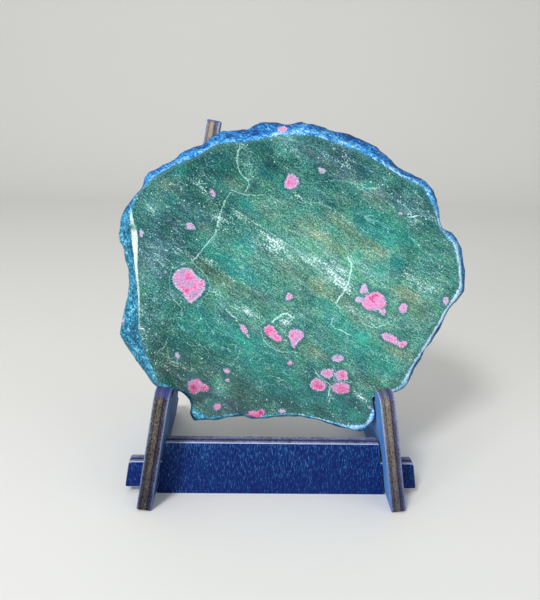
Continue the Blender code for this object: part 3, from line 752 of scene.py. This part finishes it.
def brightFlecks(tree, at):
    # single bright crystals, their brightness partly a painted glint, one to a cell at most, thicker
    # in the speckled zones
    cells = addNode(tree, "TexVoronoi", {"Vector": at.place, "Scale": 1 / rock["fleck"]}).node.outputs
    chance = addNode(tree, "SeparateXYZ", {0: cells[1]}).node.outputs
    wanted = sumOf(tree, 0.85, (-0.5, at.specks))
    chosen = addNode(tree, "Math", {0: chance[0], 1: wanted}, operation="GREATER_THAN")
    size = sumOf(tree, 0.08, (0.12, chance[1]), (0.05, at.specks))
    dot = addNode(tree, "Math", {0: cells[0], 1: size}, operation="LESS_THAN")
    return productOf(tree, dot, chosen, chance[2]), rock["speck"]


def paleHairs(tree, at):
    # faint threads where one noise crosses its own middle
    hair = cloudiness(tree, at.place, rock["hair"], (0.6, 1.0, 1.0), (11.0, 5.0, 2.0), Detail=3.0)
    hair = addNode(tree, "Math", {0: sumOf(tree, -0.5, (1.0, hair))}, operation="ABSOLUTE")
    hair = addNode(tree, "MapRange", {0: hair, 1: 0.002, 2: 0.014, 3: rock["hairShare"], 4: 0.0})
    broken = addNode(tree, "MapRange", {0: at.patch, 1: 0.48, 2: 0.6})
    return productOf(tree, hair, broken), rock["vein"]


def paleBands(tree, at):
    # granular bands: sugary crystals with dark gaps
    total = sumOf(tree, at.pale, (2.2, at.grain), (1.4, at.streak), (0.7, at.patch))
    cover = addNode(tree, "MapRange", {0: total, 1: 2.52, 2: 2.82, 4: rock["bandShare"]})
    fine = cloudiness(tree, at.place, rock["sugar"], (0.8, 1.0, 1.0), Detail=2.0, Roughness=0.8)
    shade = sumOf(tree, -1.85, (3.2, fine), (1.4, at.streak))
    return cover, addNode(tree, "ValToRGB", {0: shade}, stops=rock["bandRamp"])


def paleVeins(tree, at):
    # thin lines that break up along their length; noise sways the distance from a vein, and the
    # line is where what is left of it is less than a share of the vein's width
    kink = addNode(tree, "SeparateXYZ", {0: at.wobble})
    wander = sumOf(tree, at.offset, (0.9, at.patch), (0.6, at.grain), (0.6, at.streak), (1.4, kink))
    wander = addNode(tree, "Math", {0: wander, 1: 1.75}, operation="SUBTRACT")
    wander = addNode(tree, "Math", {0: wander}, operation="ABSOLUTE")
    thin, wide = productOf(tree, at.width, 0.12), productOf(tree, at.width, 0.58)
    line = addNode(tree, "MapRange", {0: wander, 1: thin, 2: wide, 3: 1.0, 4: 0.0})
    broken = sumOf(tree, 0.0, (0.6, at.grain), (0.4, at.patch))
    broken = addNode(tree, "MapRange", {0: broken, 1: 0.37, 2: 0.5, 3: 0.25})
    return productOf(tree, line, broken, at.white), rock["vein"]


def rubySeams(tree, at):
    # a dark green seam round each ruby, whose ragged outline is its reach bent by the grain
    ragged = sumOf(tree, at.reach, (1.5, at.grain), (1.0, at.needle))
    at.ragged = addNode(tree, "Math", {0: ragged, 1: 1.25}, operation="SUBTRACT")
    seam = addNode(tree, "MapRange", {0: at.ragged, 1: -1.3, 2: -0.2, 4: rock["seamShare"]})
    return seam, rock["seamAndShade"]


def rubyCrystals(tree, at):
    # ruby: hot pink inside, pale and sugary at its margins, each grain with its own sparkle
    ruby = addNode(tree, "MapRange", {0: at.ragged, 1: -0.15, 2: 0.3})
    blotch = cloudiness(tree, at.place, rock["blotch"], Detail=2.0, Roughness=0.8)
    lobe = cloudiness(tree, at.place, rock["lobe"], (0.8, 1.0, 1.0), (3.0, 9.0, 4.0), Detail=2.0)
    core = addNode(tree, "MapRange", {0: at.ragged, 1: 0.0, 2: 1.3, 4: 0.3})
    strength = sumOf(tree, core, (0.5, at.heat), (1.9, lobe), (1.7, blotch))
    strength = addNode(tree, "Math", {0: strength, 1: 1.82}, operation="SUBTRACT")
    pink = addNode(tree, "ValToRGB", {0: strength}, stops=rock["rubyRamp"])
    sugar = sumOf(tree, at.grain, (-0.2, at.heat))
    sugar = addNode(tree, "MapRange", {0: sugar, 1: 0.3, 2: 0.5, 4: rock["sugarShare"]})
    margin = addNode(tree, "MapRange", {0: at.ragged, 1: 1.1, 2: 0.3})
    sugar = productOf(tree, margin, sugar)
    pink = addNode(tree, "Mix", {0: sugar, 6: pink, 7: rock["rubyMargin"]}, **colourMix)
    # each grain's brightness, also sunk or lifted by the zones of tone and painted shade
    sparkle = sumOf(tree, 0.01, (1.0, at.grain), (0.09, at.lightness))
    sparkle = addNode(tree, "MapRange", {0: sparkle, 1: 0.34, 2: 0.66, 3: 0.54, 4: 1.17})
    # painted glow: rubies out on the rim are brighter
    outer = addNode(tree, "MapRange", {0: at.fromEdge, 1: 0.5, 2: 2.0, 3: 1.0, 4: 1.25})
    sparkle = productOf(tree, sparkle, outer)
    pink = addNode(tree, "Mix", {0: 1.0, 6: pink, 7: sparkle}, blend_type="MULTIPLY", **colourMix)
    at.bare = addNode(tree, "MapRange", {0: ruby, 3: 1.0, 4: 0.0})      # where no ruby is
    return ruby, pink


def edgeShade(tree, at):
    # painted shade: the face is a little darker just inside its top and right edges
    inner = addNode(tree, "MapRange", {0: at.fromEdge, 1: -2.0, 2: -0.5, 4: rock["edgeShare"]})
    return productOf(tree, inner, at.blue, at.bare), rock["seamAndShade"]


def naturalSkin(tree, at):
    # from the face's edge outwards. Painted light: bluer on the top and right, brighter near the
    # edge there and darker further out, and a painted glow, its brightest frost, along the right and
    # bottom edge
    frost = cloudiness(tree, at.place, rock["frost"], Detail=4.0, Roughness=0.85)
    broad = cloudiness(tree, at.place, rock["drift"], shift=(5.0, 2.0, 8.0), Detail=3.0)
    near = addNode(tree, "MapRange", {0: at.fromEdge, 1: 0.6, 2: 3.0, 3: 1.0, 4: 0.0})
    fading = addNode(tree, "MapRange", {0: at.fromEdge, 1: 1.0, 2: 9.0, 3: 0.2, 4: -0.36})
    frost = sumOf(tree, -2.0, (3.5, frost), (1.2, broad), (1.0, productOf(tree, fading, at.blue)))
    at.frost = sumOf(tree, frost, (0.65, productOf(tree, near, at.frosted)))
    litBlue = addNode(tree, "ValToRGB", {0: at.frost}, stops=rock["blueLitSkin"])
    mild = addNode(tree, "ValToRGB", {0: at.frost}, stops=rock["tealSkin"])
    skin = addNode(tree, "Mix", {0: at.blue, 6: mild, 7: litBlue}, **colourMix)
    start = sumOf(tree, at.fromEdge, (1.9, at.grain), (0.8, at.needle), (0.3, at.blue))
    rim = addNode(tree, "MapRange", {0: start, 1: 1.3, 2: 1.8})
    front = addNode(tree, "MapRange", {0: at.behind, 3: 1.0, 4: 0.0})
    return productOf(tree, rim, at.bare, front), skin


def sawnBack(tree, at):
    # the same rock under a chalky bloom
    bloom = addNode(tree, "MapRange", {0: at.patch, 1: 0.3, 2: 0.7, 3: rock["bloomShare"] / 2,
                                       4: rock["bloomShare"]})
    return productOf(tree, bloom, at.behind), rock["sawn"]


def polishedRubyInZoisite():
    # chrome-green zoisite with ruby, lapped and polished on the face: clear colour under a soft
    # gloss. The natural skin left round the rim is rough and frosty, its bluish hue partly painted
    # light and bluest on the top and right; the back is sawn.
    made, tree, shader = newMaterial("polishedRubyInZoisite", 0.24, 0.4)
    at = rockReadings(tree)
    layers = ((chromeCrystals, "MIX"), (hueDrift, "MULTIPLY"), (brightFlecks, "MIX"),
              (paleHairs, "MIX"), (paleBands, "MIX"), (paleVeins, "MIX"), (rubySeams, "MIX"),
              (rubyCrystals, "MIX"), (edgeShade, "MIX"), (naturalSkin, "MIX"), (sawnBack, "MIX"))
    colour = layered(tree, at, tintedGround(tree, at), layers)
    tree.links.new(colour, shader.inputs["Base Color"])
    worn = sumOf(tree, at.fromEdge, (2.0, at.blue))
    dull = addNode(tree, "MapRange", {0: worn, 1: 0.5, 2: 2.2, 4: 0.5})
    rough = sumOf(tree, rock["polishRoughness"], (0.12, at.grain), (0.2, at.behind), (1.0, dull))
    tree.links.new(rough, shader.inputs["Roughness"])
    relief = addNode(tree, "MapRange", {0: worn, 1: 0.8, 2: 2.4, 3: 0.02, 4: 0.7})
    bump = addNode(tree, "Bump", {"Strength": relief, "Distance": rock["bumpHeight"] * mm,
                                  "Height": at.frost})
    tree.links.new(bump, shader.inputs["Normal"])
    return made


def addSlab():
    grid, reach, faceEdge, thick = slabGrid()
    rows, columns = reach.shape
    middle = [(*slab["centre"], 0.0), (*slab["centre"], thick)]
    place = np.vstack([grid.reshape(-1, 3), middle])
    reaches = np.concatenate([reach.ravel(), [-1.0, slab["backReach"]]])
    maps = slabMaps(place, reaches, faceEdge, thick)
    piece = newPiece("rubyZoisiteSlab", worldFromSlab(place), bandFaces(rows, columns),
                     polishedRubyInZoisite(), maps)
    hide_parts("slab")
    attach(piece, "root")
    print("slab made:", len(piece.data.polygons), "faces")


stand = {
    "lean": 9.5,                 # degrees that the side plates lean in
    "thickness": 5.0,            # mm of the sheet that all three pieces are cut from
    "spacing": 0.6,              # mm between points along a cut edge
    "cornerRound": 0.55, "arrisRound": 0.3,      # mm
    "arrisSwing": (90, 65, 40, 15),              # degrees at which the arris has a row
    "sharpTurn": 28.0,           # degrees; a smaller bend belongs to a curve
    "gluelines": (0.8, -1.15),   # mm from the middle of the sheet, where its three plies meet
    "gluelineDepth": 0.06, "gluelineHalf": 0.16,      # mm
}


def sheetAxes(side):
    # directions along a sheet, up it and square to it
    if side == 0:
        along, up = np.array([1.0, 0, 0]), np.array([0, 0, 1.0])
    else:
        lean = math.radians(stand["lean"])
        along, up = np.array([0, 1.0, 0]), np.array([-side * math.sin(lean), 0, math.cos(lean)])
    return np.stack([along, up, np.cross(along, up)])


def cadOutlines(node, axes):
    # the closed outlines of a flat solid, in mm along and up the sheet, and its middle plane; an
    # edge is on an outline if it lies in the upper face and one of its faces stands upright
    solid = bmesh.new()
    solid.from_mesh(node.data)
    bmesh.ops.remove_doubles(solid, verts=solid.verts[:], dist=1e-6)
    square = Vector(axes[2])
    heights = [vertex.co.dot(square) for vertex in solid.verts]
    top = max(heights)
    neighbours = {}
    for edge in solid.edges:
        level = all(vertex.co.dot(square) > top - 0.1 * mm for vertex in edge.verts)
        turned = sum(abs(face.normal.dot(square)) < 0.5 for face in edge.link_faces)
        if level and turned == 1:
            for vertex, other in (edge.verts, reversed(edge.verts)):
                neighbours.setdefault(vertex.index, []).append(other.index)
    solid.verts.ensure_lookup_table()
    loops = []
    while neighbours:
        loop = [next(iter(neighbours))]
        while True:
            onward = [index for index in neighbours.pop(loop[-1]) if index in neighbours]
            if not onward:
                break
            loop.append(onward[0])
        loops.append(np.array([solid.verts[index].co for index in loop]) / mm @ axes[:2].T)
    middle = (top + min(heights)) / 2 / mm
    solid.free()
    return loops, middle


def area(loop):
    ahead = np.roll(loop, -1, 0)
    return ((loop[:, 0] * ahead[:, 1] - loop[:, 1] * ahead[:, 0]).sum()) / 2


def turns(loop):
    # bend at each point in degrees
    before, after = loop - np.roll(loop, 1, 0), np.roll(loop, -1, 0) - loop
    turned = np.arctan2(after[:, 1], after[:, 0]) - np.arctan2(before[:, 1], before[:, 0])
    return np.degrees((turned + math.pi) % (2 * math.pi) - math.pi)


def easedLoop(loop):
    # curves made smooth by Hermite pieces, and each sharp corner by a small bend
    sharp = np.abs(turns(loop)) > stand["sharpTurn"]
    chord = np.roll(loop, -1, 0) - np.roll(loop, 1, 0)
    run = np.roll(loop, -1, 0) - loop
    length = np.linalg.norm(run, axis=1, keepdims=True)
    straight = run / length
    mean = chord / np.linalg.norm(chord, axis=1, keepdims=True)
    leave = np.where(sharp[:, None], straight, mean)
    arrive = np.where(np.roll(sharp, -1)[:, None], straight, np.roll(mean, -1, 0))
    points = []
    for i, start in enumerate(loop):
        following = (i + 1) % len(loop)
        end, span = loop[following], length[i, 0]
        cut = min(stand["cornerRound"], span / 3) / span
        low = cut if sharp[i] else 0.0
        high = 1 - cut if sharp[following] else 1.0
        count = max(1, round(span / stand["spacing"]))
        t = np.linspace(low, high, count + 1)[:, None]
        if not sharp[following]:
            t = t[:-1]
        h = t * t * (3 - 2 * t)
        piece = (start * (1 - h) + end * h
                 + span * (leave[i] * t * (1 - t) ** 2 - arrive[i] * t * t * (1 - t)))
        points.append(piece)
        if sharp[following]:
            share = min(stand["cornerRound"] / length[following, 0], 1 / 3)
            ahead = end + (loop[(i + 2) % len(loop)] - end) * share
            t = np.array([[0.25], [0.5], [0.75]])
            points.append(piece[-1] * (1 - t) ** 2 + end * 2 * t * (1 - t) + ahead * t * t)
    return np.vstack(points)


def mitres(loop):
    # how far each point moves when every side moves inward by one
    run = np.roll(loop, -1, 0) - loop
    square = np.column_stack([-run[:, 1], run[:, 0]]) / np.linalg.norm(run, axis=1, keepdims=True)
    both = square + np.roll(square, 1, 0)
    return 2 * both / (both ** 2).sum(1, keepdims=True)


def edgeProfile():
    # rows over a cut edge: how far in from the outline, and where across the sheet. An arris is a
    # quarter circle, and a glueline a shallow V.
    half, radius, groove = stand["thickness"] / 2, stand["arrisRound"], stand["gluelineHalf"]
    arris = [(radius * (1 - math.cos(a)), half - radius * (1 - math.sin(a)))
             for a in np.radians(stand["arrisSwing"])]
    rows = list(arris)
    for line in stand["gluelines"]:
        rows += [(0.0, line + groove), (stand["gluelineDepth"], line), (0.0, line - groove)]
    return np.array(rows + [(inset, -height) for inset, height in reversed(arris)])


def capFaces(rims):
    # flat triangles inside the first outline and outside the others, on both faces of a sheet;
    # each rim is its outline and the numbers of its first points on the two faces
    flat = np.vstack([outline for outline, _, _ in rims])
    links, tops, bottoms = [], [], []
    for outline, top, bottom in rims:
        first, count = len(tops), len(outline)
        links += [(first + i, first + (i + 1) % count) for i in range(count)]
        tops += range(top, top + count)
        bottoms += range(bottom, bottom + count)
    triangles = geometry.delaunay_2d_cdt([Vector(point) for point in flat], links, [], 1, 1e-7)[2]
    faces = []
    for triangle in triangles:
        inside = [reachInto(flat[triangle].mean(0)[None], outline)[0] > 0 for outline, _, _ in rims]
        if inside[0] and not any(inside[1:]):
            faces.append([tops[i] for i in triangle])
            faces.append([bottoms[i] for i in reversed(triangle)])
    return faces


def sheetMesh(node, side):
    # the profile carried round every outline, closed by a flat face on each side
    axes = sheetAxes(side)
    loops, middle = cadOutlines(node, axes)
    loops.sort(key=lambda loop: -abs(area(loop)))
    loops = [loop if (area(loop) > 0) == (rank == 0) else loop[::-1]
             for rank, loop in enumerate(loops)]
    profile = edgeProfile()
    row = np.arange(len(profile))
    onCut = np.minimum(np.minimum(row, row[::-1]), 1)
    points, maps, faces, rims = [], [], [], []
    start = 0
    for loop in loops:
        eased = easedLoop(loop)
        inward = mitres(eased)
        flat = eased + inward * profile[:, 0, None, None]
        across = np.broadcast_to(profile[:, 1, None, None], flat.shape[:2] + (1,))
        points.append(np.concatenate([flat, across], -1).reshape(-1, 3))
        cut = np.broadcast_to(onCut[:, None], flat.shape[:2])
        upward = np.broadcast_to(-(inward @ [0, axes[1][2]]), flat.shape[:2])
        maps.append(np.stack([cut, upward, np.full_like(cut, side)], -1).reshape(-1, 3))
        count = len(eased)
        faces += (bandQuads(len(profile), count) + start).tolist()
        rims.append((flat[0], start, start + (len(profile) - 1) * count))
        start += len(profile) * count
    points = np.vstack(points)
    maps = {"sheetMap": points, "cutMap": np.vstack(maps)}
    return (points + (0, 0, middle)) @ axes, faces, capFaces(rims), maps


plywood = {
    # mm: the width of the pores and fibres, and how many times as long they are; broader clouds
    "dash": 0.16, "dashLength": 11.0, "fibre": 0.36, "fibreLength": 2.2,
    "cloud": 12.0, "wobble": 2.5, "smoke": 7.0,
    "grainHeight": 0.15,                          # mm
    "lowTintHeight": 58.0,                           # mm up the sheet, where the darker, bluer tint low down ends
    "cleanFrom": 70.0, "cleanTo": 115.0,          # mm up the sheet, between which charring thins
    "leftPlateShade": 0.6,            # painted shade: how light the left plate's faces are beside the right one's
    "bar": ((0.25, "#031b58"), (0.5, "#082e6d"), (0.68, "#1c4f8a"), (0.9, "#5489ba")),
    # the plates' faces, paler than the bar's: painted light and sheen, as on the right plate's inner face
    "plate": ((0.25, "#3769ac"), (0.5, "#5086c9"), (0.8, "#70a4e0")),
    # the cut edge from the sheet's first face to its second, for the plates and then the bar; the pale
    # ends on the arrises are partly the face plies' own colour and partly a painted highlight
    "plies": ((0.0, "#b4c2da"), (0.09, "#a3afc4"), (0.14, "#7b7879"), (0.24, "#8a8680"),
              (0.27, "#4a464a"), (0.31, "#928a7c"), (0.46, "#a49d8e"), (0.6, "#8e877e"),
              (0.66, "#302c38"), (0.70, "#5d5870"), (0.84, "#6f6b86"), (0.9, "#98a5c6"),
              (1.0, "#b4c0de")),
    "barPlies": ((0.0, "#b4c2da"), (0.1, "#a6acd8"), (0.4, "#9c9ecb"), (0.49, "#4e5486"),
                 (0.66, "#4e5486"), (0.74, "#919ccc"), (0.88, "#9fb0dc"), (1.0, "#b4c0de")),
    "char": ((0.1, "#524b46"), (0.5, "#bbb5ae"), (0.75, "#fffcf6")),
    # colours: a painted shadow for the bar's ends, a violet painted light for edges that face up, and a
    # darker, bluer tint low down
    "gapShadow": "#10142c", "violetLight": "#505ca4", "lowTint": "#7c86b4",
}


def sheetReadings(tree):
    # what the finish reads at a point: its place on the sheet in mm, whether that is on a cut
    # edge and how far that edge faces up, and which sheet it is: -1 left, 0 the bar, 1 right
    place = addNode(tree, "Attribute", attribute_name="sheetMap", out=1)
    cutMap = addNode(tree, "Attribute", attribute_name="cutMap", out=1)
    at = SimpleNamespace(place=place)
    at.cut, at.upward, at.side = addNode(tree, "SeparateXYZ", {0: cutMap}).node.outputs
    _, at.height, at.across = addNode(tree, "SeparateXYZ", {0: place}).node.outputs
    at.plate = addNode(tree, "Math", {0: at.side}, operation="ABSOLUTE")
    along = (1.0, 1 / plywood["dashLength"], 1.0)
    at.dash = cloudiness(tree, place, plywood["dash"], along, Detail=2.0, Roughness=0.7)
    along = (1 / plywood["fibreLength"], 1 / plywood["fibreLength"], 1.0)
    at.fibre = cloudiness(tree, place, plywood["fibre"], along, Detail=4.0, Roughness=0.8)
    return at


def stainedVeneer(tree, at):
    # a dark stain, its bluish hue partly painted light, with pale pores drawn up the grain, the bar's
    # a little lighter towards its top; the plates' faces are paler, painted light and sheen, and the
    # left plate's darker again, painted shade
    cloud = cloudiness(tree, at.place, plywood["cloud"], Detail=2.0)
    tone = sumOf(tree, -1.5, (3.1, at.dash), (0.3, cloud), (0.007, at.height))
    bar = addNode(tree, "ValToRGB", {0: tone}, stops=plywood["bar"])
    calm = sumOf(tree, -0.1, (0.6, at.dash), (0.6, cloud))
    pale = addNode(tree, "ValToRGB", {0: calm}, stops=plywood["plate"])
    leftShade = addNode(tree, "MapRange", {0: at.side, 1: -1.0, 3: plywood["leftPlateShade"]})
    pale = addNode(tree, "Mix", {0: 1.0, 6: pale, 7: leftShade}, blend_type="MULTIPLY", **colourMix)
    return addNode(tree, "Mix", {0: at.plate, 6: bar, 7: pale}, **colourMix)


def cutPlies(tree, at):
    # three plies and two dark gluelines, on the plates and on the bar
    wobble = cloudiness(tree, at.place, plywood["wobble"], Detail=2.0)
    share = sumOf(tree, sumOf(tree, 0.5, (0.2, at.across)), (0.09, wobble))
    share = addNode(tree, "Math", {0: share, 1: 0.045}, operation="SUBTRACT")
    plies = addNode(tree, "ValToRGB", {0: share}, stops=plywood["plies"])
    barPlies = addNode(tree, "ValToRGB", {0: share}, stops=plywood["barPlies"])
    return addNode(tree, "Mix", {0: at.plate, 6: barPlies, 7: plies}, **colourMix)


def charring(tree, at):
    # charred fibres along the cut, fewer up the sheet, and hardly any on the arrises, which stay pale for
    # their painted highlight
    smoke = cloudiness(tree, at.place, plywood["smoke"], Detail=2.0)
    clean = addNode(tree, "MapRange", {0: at.height, 1: plywood["cleanFrom"],
                                       2: plywood["cleanTo"], 4: 0.36})
    clean = sumOf(tree, clean, (2.3, at.fibre), (0.5, smoke), (0.12, at.side))
    char = addNode(tree, "ValToRGB", {0: sumOf(tree, -0.88, (1.0, clean))}, stops=plywood["char"])
    flat = addNode(tree, "Math", {0: at.across}, operation="ABSOLUTE")
    at.flat = addNode(tree, "MapRange", {0: flat, 1: 2.15, 2: 2.35, 3: 1.0, 4: 0.15})
    return at.flat, char


def violetTopLight(tree, at):
    # painted light: a violet tint on the plates' cut edges that face up, standing in for the bluish light
    # falling on them, more on the left plate
    violetLight = addNode(tree, "MapRange", {0: at.upward, 1: 0.5, 2: 0.95})
    bySide = addNode(tree, "MapRange", {0: at.side, 1: -1.0, 3: 0.65, 4: 0.35})
    return productOf(tree, violetLight, at.flat, bySide, at.plate), plywood["violetLight"]


def darkerLowDown(tree, at):
    # the plates' cut edges darker and bluer towards the bottom
    lowTint = addNode(tree, "MapRange", {0: at.height, 2: plywood["lowTintHeight"], 3: 0.85, 4: 0.0})
    return productOf(tree, lowTint, at.plate), plywood["lowTint"]


def shadowedBarEnds(tree, at):
    # painted shadow: the bar's upright ends are darkened nearly black, standing in for the shadowed gaps
    # where the bar meets the plates
    ends = addNode(tree, "Math", {0: at.upward}, operation="ABSOLUTE")
    ends = sumOf(tree, ends, (1.0, at.plate))
    ends = addNode(tree, "MapRange", {0: ends, 1: 0.3, 2: 0.8, 3: 0.85, 4: 0.0})
    return ends, plywood["gapShadow"]


def laserCutPlywood():
    # birch plywood, stained a bluish slate on its faces, that hue partly painted bluish light, and cut
    # by laser: the faces are satin with short pale pores along the grain, and the cut edges show three
    # plies, brown and fibrous
    made, tree, shader = newMaterial("stainedLaserCutPlywood", 0.6, 0.12)
    at = sheetReadings(tree)
    plies = layered(tree, at, cutPlies(tree, at), (
        (charring, "MULTIPLY"), (violetTopLight, "MIX"), (darkerLowDown, "MULTIPLY"), (shadowedBarEnds, "MIX")))
    colour = addNode(tree, "Mix", {0: at.cut, 6: stainedVeneer(tree, at), 7: plies}, **colourMix)
    tree.links.new(colour, shader.inputs["Base Color"])
    rough = addNode(tree, "MapRange", {0: at.cut, 3: 0.55, 4: 0.85})
    tree.links.new(rough, shader.inputs["Roughness"])
    height = addNode(tree, "Mix", {0: at.cut, 2: at.dash, 3: at.fibre})
    bump = addNode(tree, "Bump", {"Strength": 0.4, "Distance": plywood["grainHeight"] * mm,
                                  "Height": height})
    tree.links.new(bump, shader.inputs["Normal"])
    return made


def addStand():
    finish = laserCutPlywood()
    for node, title, side in (("left_side_plate", "leftSidePlate", -1),
                              ("right_side_plate", "rightSidePlate", 1),
                              ("cross_bar", "crossBar", 0)):
        points, strips, caps, maps = sheetMesh(nodes[node], side)
        piece = newPiece(title, points, strips + caps, finish, maps)
        smooth = np.arange(len(strips + caps)) < len(strips)
        piece.data.polygons.foreach_set("use_smooth", smooth)
        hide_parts(node)
        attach(piece, "root")
    print("stand made")


studio = {
    "halfWidth": 7.0, "front": -4.0, "back": 0.75, "bend": 0.35, "height": 1.4,     # m
    "flatRows": 12, "bendRows": 24, "columns": 9,
    "floor": "#e4e4e1", "floorTints": ((0.3, "#e2e2df"), (0.7, "#e7e7e4")),
    "unevenness": 1 / 3,         # of the paper's length, breadth and height, for a lump of its tint
    "air": "#ffffff", "airStrength": 0.25,
    # name, degrees left of the view, degrees up, distance, width and height in m, watts, colour
    "lights": (("keyLight", 26, 42, 1.1, 0.2, 0.2, 7.0, "#ffffff"),
               ("edgeLight", 41, 6, 0.9, 0.22, 0.18, 3.6, "#ffffff"),
               ("fillLight", -50, 30, 2.0, 1.6, 1.6, 5.0, "#ffffff"),
               ("topLight", 5, 82, 1.9, 1.8, 1.8, 11.0, "#ffffff")),
    "aim": (0.0, 0.01, 0.07),     # m
}


def addFloor():
    # matt paper, evenly pale: a flat floor whose back rises in a quarter circle to an upright wall
    turn = np.linspace(0, math.pi / 2, studio["bendRows"])
    run = np.concatenate([np.linspace(studio["front"], studio["back"], studio["flatRows"])[:-1],
                          studio["back"] + studio["bend"] * np.sin(turn),
                          [studio["back"] + studio["bend"]]])
    rise = np.concatenate([np.zeros(studio["flatRows"] - 1), studio["bend"] * (1 - np.cos(turn)),
                           [studio["height"]]])
    side = np.linspace(-studio["halfWidth"], studio["halfWidth"], studio["columns"])
    points = np.stack(np.broadcast_arrays(side[None], run[:, None], rise[:, None]), -1)
    rows, columns = points.shape[:2]
    corner = (np.arange(rows - 1)[:, None] * columns + np.arange(columns - 1)).ravel()
    faces = np.stack([corner, corner + 1, corner + columns + 1, corner + columns], -1).tolist()
    finish, tree, shader = newMaterial("mattPaperSweep", 0.7, 0.2, studio["floor"])
    span = np.ptp(points, axis=(0, 1))
    place = addNode(tree, "TexCoord", out=3)
    uneven = cloudiness(tree, place, studio["unevenness"], tuple(1 / span),
                        (0.5, -studio["front"] / span[1], 0.0), Detail=1.0)
    tint = addNode(tree, "ValToRGB", {0: uneven}, stops=studio["floorTints"])
    tree.links.new(tint, shader.inputs["Base Color"])
    floor = newPiece("paperSweep", points.reshape(-1, 3) / mm, faces, finish, {})


def addLights():
    world = bpy.data.worlds.new("studioAir")
    world.use_nodes = True
    world.node_tree.nodes["Background"].inputs["Color"].default_value = linear(studio["air"])
    world.node_tree.nodes["Background"].inputs["Strength"].default_value = studio["airStrength"]
    bpy.context.scene.world = world
    aim = Vector(studio["aim"])
    for name, left, above, distance, width, height, power, colour in studio["lights"]:
        lamp = bpy.data.lights.new(name, "AREA")
        lamp.shape, lamp.size, lamp.size_y, lamp.energy = "RECTANGLE", width, height, power
        lamp.color = linear(colour)[:3]
        light = bpy.data.objects.new(name, lamp)
        bpy.context.scene.collection.objects.link(light)
        left, above = math.radians(left), math.radians(above)
        away = Vector((-math.sin(left) * math.cos(above), -math.cos(left) * math.cos(above),
                       math.sin(above)))
        light.location = aim + away * distance
        light.rotation_euler = away.to_track_quat("Z", "Y").to_euler()


bpy.context.scene.view_settings.view_transform = "Standard"
addCamera()
addSlab()
addStand()
addFloor()
addLights()
print("studio made")
